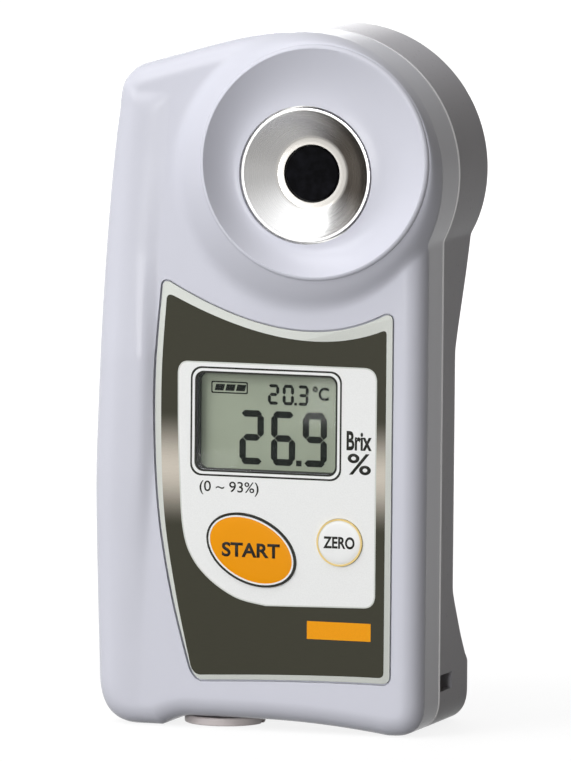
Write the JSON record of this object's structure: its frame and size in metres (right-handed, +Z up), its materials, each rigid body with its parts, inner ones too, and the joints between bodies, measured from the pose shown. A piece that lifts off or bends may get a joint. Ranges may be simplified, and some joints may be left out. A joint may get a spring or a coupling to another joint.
{
  "type": "digital refractometer",
  "caption": "Pocket digital refractometer that stands on its feet, with a round sample well, a display, push keys and a lockable battery lid.",
  "frame": {"origin": "centre of the outline's footprint, at the level of the feet that the instrument stands on", "axes": "+Z up along the length, towards the head; +X to the right of someone facing the display; +Y to the back, so the display and the well face -Y"},
  "size_m": [0.0565, 0.031, 0.1094],
  "materials": {
    "front_shell": "glossy pale grey ABS",
    "rear_shell": "glossy grey ABS",
    "seal_rubber": "soft black rubber",
    "screw_steel": "nickel-plated steel",
    "label_film": "printed film, dark olive with a white panel",
    "window_clear": "clear",
    "key_orange": "satin orange",
    "key_white": "satin white",
    "display_face": "grey-green liquid crystal display",
    "black_moulding": "black moulded plastic",
    "circuit_board": "green circuit board",
    "chip_black": "black moulded package",
    "cell_wrap": null,
    "lock_grey": "warm grey moulded plastic",
    "bush_brass": "turned brass",
    "stage_steel": "turned stainless steel",
    "prism_glass": "polished optical glass over a black block",
    "lamp_amber": "amber lamp lens",
    "lead_film": "amber film lead"
  },
  "bodies": {
    "root": {"front_case": "front_shell", "rear_case": "rear_shell", "case_seal": "seal_rubber", "case_screw_foot": "screw_steel", "case_screw_waist": "screw_steel", "case_screw_shoulder": "screw_steel", "case_screw_crown": "screw_steel", "keypad_label": "label_film", "display_window": "window_clear", "start_key_dome": "screw_steel", "zero_key_dome": "screw_steel", "display_panel": "display_face", "display_frame": "black_moulding", "display_contact_upper": "seal_rubber", "display_contact_lower": "seal_rubber", "main_board": "circuit_board", "microcontroller": "chip_black", "clock_crystal": "screw_steel", "beeper": "chip_black", "battery_tray": "black_moulding", "aaa_cell_left": "cell_wrap", "spring_contact_left": "screw_steel", "plate_contact_left": "screw_steel", "aaa_cell_right": "cell_wrap", "spring_contact_right": "screw_steel", "plate_contact_right": "screw_steel", "lock_bush": "bush_brass", "sample_stage": "stage_steel", "prism": "prism_glass", "prism_seal": "seal_rubber", "optics_block": "black_moulding", "lamp": "lamp_amber", "lamp_board": "circuit_board", "lens": "window_clear", "image_sensor": "chip_black", "sensor_board": "circuit_board", "thermistor": "chip_black", "sensor_lead": "lead_film", "optics_screw_1": "screw_steel", "optics_screw_2": "screw_steel"},
    "start_key": {"start_key": "key_orange"},
    "zero_key": {"zero_key": "key_white"},
    "battery_lid": {"battery_lid": "rear_shell"},
    "coin_lock": {"coin_lock": "lock_grey"}
  },
  "joints": [
    {"name": "start_key_press", "type": "slide", "parent": "root", "child": "start_key", "axis": [0, 1, 0], "range_m": [0, 0.0004], "stiffness_N_per_m": 1500},
    {"name": "zero_key_press", "type": "slide", "parent": "root", "child": "zero_key", "axis": [0, 1, 0], "range_m": [0, 0.0004], "stiffness_N_per_m": 1500},
    {"name": "battery_lid_off", "type": "slide", "parent": "root", "child": "battery_lid", "axis": [0, 1, 0], "range_m": [0, 0.026]},
    {"name": "coin_lock_turn", "type": "hinge", "parent": "root", "child": "coin_lock", "pos_m": [-0.009, -0.0016, 0.001], "axis": [0, 0, 1], "range_deg": [0, 90]}
  ]
}
